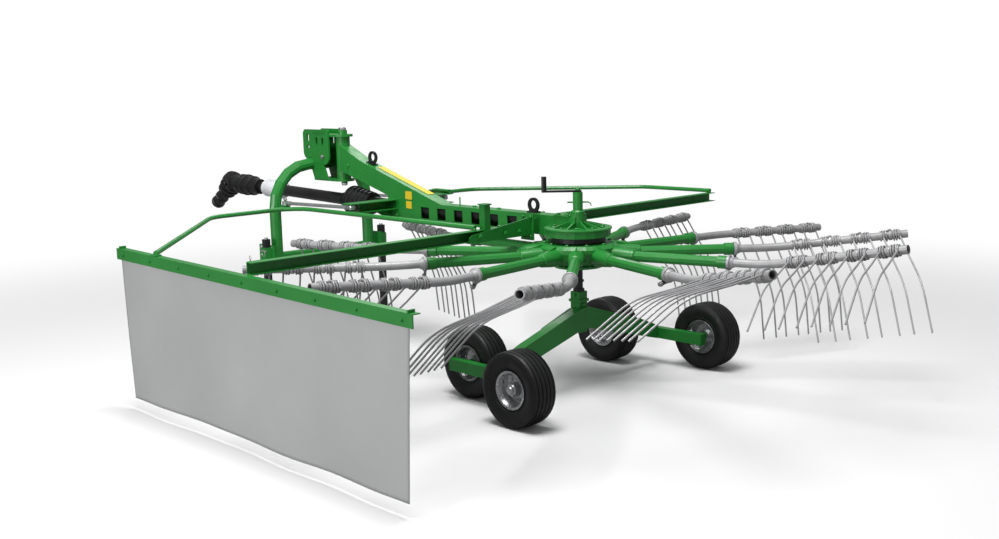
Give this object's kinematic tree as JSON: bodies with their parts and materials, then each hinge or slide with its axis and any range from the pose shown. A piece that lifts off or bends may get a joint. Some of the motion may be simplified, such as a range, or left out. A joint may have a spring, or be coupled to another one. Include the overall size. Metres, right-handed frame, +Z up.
{
  "type": "single rotor hay rake",
  "caption": "Mounted hay rake: a box beam over one spinning rotor of tine arms, small wheels, a swath curtain, guard hoops and a swinging headstock with parking stands.",
  "frame": {"origin": "on the ground in the middle of the machine's footprint; the rotor's axis is 0.942 m behind it and 0.0375 m to its right", "axes": "+X forward to the tractor, +Y to the machine's left where the swath curtain is, +Z up"},
  "size_m": [5.4691, 3.595, 1.325],
  "materials": {
    "green_paint": "gloss green paint",
    "black_paint": "satin black paint",
    "zinc": "zinc plated steel",
    "grey_paint": "grey coated steel",
    "rubber": "black rubber",
    "black_plastic": "black plastic",
    "pale_plastic": "pale grey plastic",
    "canvas": "grey coated fabric"
  },
  "bodies": {
    "frame": {"main_beam": "green_paint", "drive_shaft": "zinc", "gearbox_housing": "green_paint", "adjuster_post": "green_paint", "crank_handle": "black_plastic", "rotor_axle": "zinc", "seal_ring": "black_plastic", "lifting_eye_front": "black_paint", "lifting_eye_rear": "black_paint", "cross_axle": "green_paint", "column_rod": "black_paint", "rocker_left": "green_paint", "rocker_right": "green_paint", "pto_guard_bell": "black_plastic", "pto_guard_tube": "black_plastic", "pto_collar": "pale_plastic", "pto_inner_joint": "black_plastic", "pto_outer_yoke": "black_plastic", "stabiliser_arm_left": "green_paint", "stabiliser_arm_right": "green_paint", "curtain_sleeve": "green_paint", "guard_bracket": "green_paint"},
    "rotor": {"rotor_hub": "green_paint", "tine_arm_01": "grey_paint", "tine_arm_02": "grey_paint", "tine_arm_03": "grey_paint", "tine_arm_04": "grey_paint", "tine_arm_05": "grey_paint", "tine_arm_06": "grey_paint", "tine_arm_07": "grey_paint", "tine_arm_08": "grey_paint", "tine_arm_09": "grey_paint", "tine_arm_10": "grey_paint", "tine_arm_11": "grey_paint"},
    "headstock": {"headstock_frame": "green_paint", "pivot_pin": "green_paint", "hitch_bracket_left": "green_paint", "hitch_bracket_right": "green_paint"},
    "stand_left": {"parking_stand_left": "black_paint"},
    "stand_right": {"parking_stand_right": "black_paint"},
    "strut_left": {"stabiliser_left": "zinc"},
    "strut_right": {"stabiliser_right": "zinc"},
    "curtain": {"curtain_beam": "green_paint", "curtain_rail": "green_paint", "swath_curtain": "canvas", "curtain_guard_tube": "green_paint", "curtain_post": "green_paint"},
    "right_guard": {"right_guard_beam": "green_paint", "right_guard_tube": "green_paint"},
    "wheel_rear_left": {"tyre_rear_left": "rubber", "rim_rear_left": "zinc"},
    "wheel_front_left": {"tyre_front_left": "rubber", "rim_front_left": "zinc"},
    "wheel_front_right": {"tyre_front_right": "rubber", "rim_front_right": "zinc"},
    "wheel_rear_right": {"tyre_rear_right": "rubber", "rim_rear_right": "zinc"}
  },
  "joints": [
    {"name": "rotor_spin", "type": "hinge", "parent": "frame", "child": "rotor", "pos_m": [-0.9415, -0.0375, 0.714], "axis": [0, 0, 1], "continuous": true},
    {"name": "wheel_rear_left_spin", "type": "hinge", "parent": "frame", "child": "wheel_rear_left", "pos_m": [-1.2315, 0.7075, 0.185], "axis": [0, 1, 0], "continuous": true},
    {"name": "wheel_front_left_spin", "type": "hinge", "parent": "frame", "child": "wheel_front_left", "pos_m": [-0.6915, 0.4825, 0.185], "axis": [0, 1, 0], "continuous": true},
    {"name": "wheel_front_right_spin", "type": "hinge", "parent": "frame", "child": "wheel_front_right", "pos_m": [-0.6915, -0.5575, 0.185], "axis": [0, 1, 0], "continuous": true},
    {"name": "wheel_rear_right_spin", "type": "hinge", "parent": "frame", "child": "wheel_rear_right", "pos_m": [-1.2315, -0.7825, 0.185], "axis": [0, 1, 0], "continuous": true},
    {"name": "headstock_swing", "type": "hinge", "parent": "frame", "child": "headstock", "pos_m": [1.0985, -0.0375, 1.01], "axis": [0, 0, 1], "range_deg": [-12, 12]},
    {"name": "stand_left_slide", "type": "slide", "parent": "headstock", "child": "stand_left", "axis": [0, 0, 1], "range_m": [0, 0.35]},
    {"name": "stand_right_slide", "type": "slide", "parent": "headstock", "child": "stand_right", "axis": [0, 0, 1], "range_m": [0, 0.35]},
    {"name": "stabiliser_left_pivot", "type": "hinge", "parent": "headstock", "child": "strut_left", "pos_m": [1.3035, 0.2845, 0.866], "axis": [0, 0, 1], "range_deg": [-12, 12]},
    {"name": "stabiliser_right_pivot", "type": "hinge", "parent": "headstock", "child": "strut_right", "pos_m": [1.3035, -0.3595, 0.866], "axis": [0, 0, 1], "range_deg": [-12, 12]},
    {"name": "curtain_slide", "type": "slide", "parent": "frame", "child": "curtain", "axis": [0, 1, 0], "range_m": [0, 0.3]},
    {"name": "right_guard_fold", "type": "hinge", "parent": "frame", "child": "right_guard", "pos_m": [-0.5295, -0.1625, 0.88], "axis": [-1, 0, 0], "range_deg": [0, 80]}
  ],
  "couplings": [
    {"joint": "stabiliser_left_pivot", "follows": "headstock_swing", "ratio": -1},
    {"joint": "stabiliser_right_pivot", "follows": "headstock_swing", "ratio": -1}
  ]
}
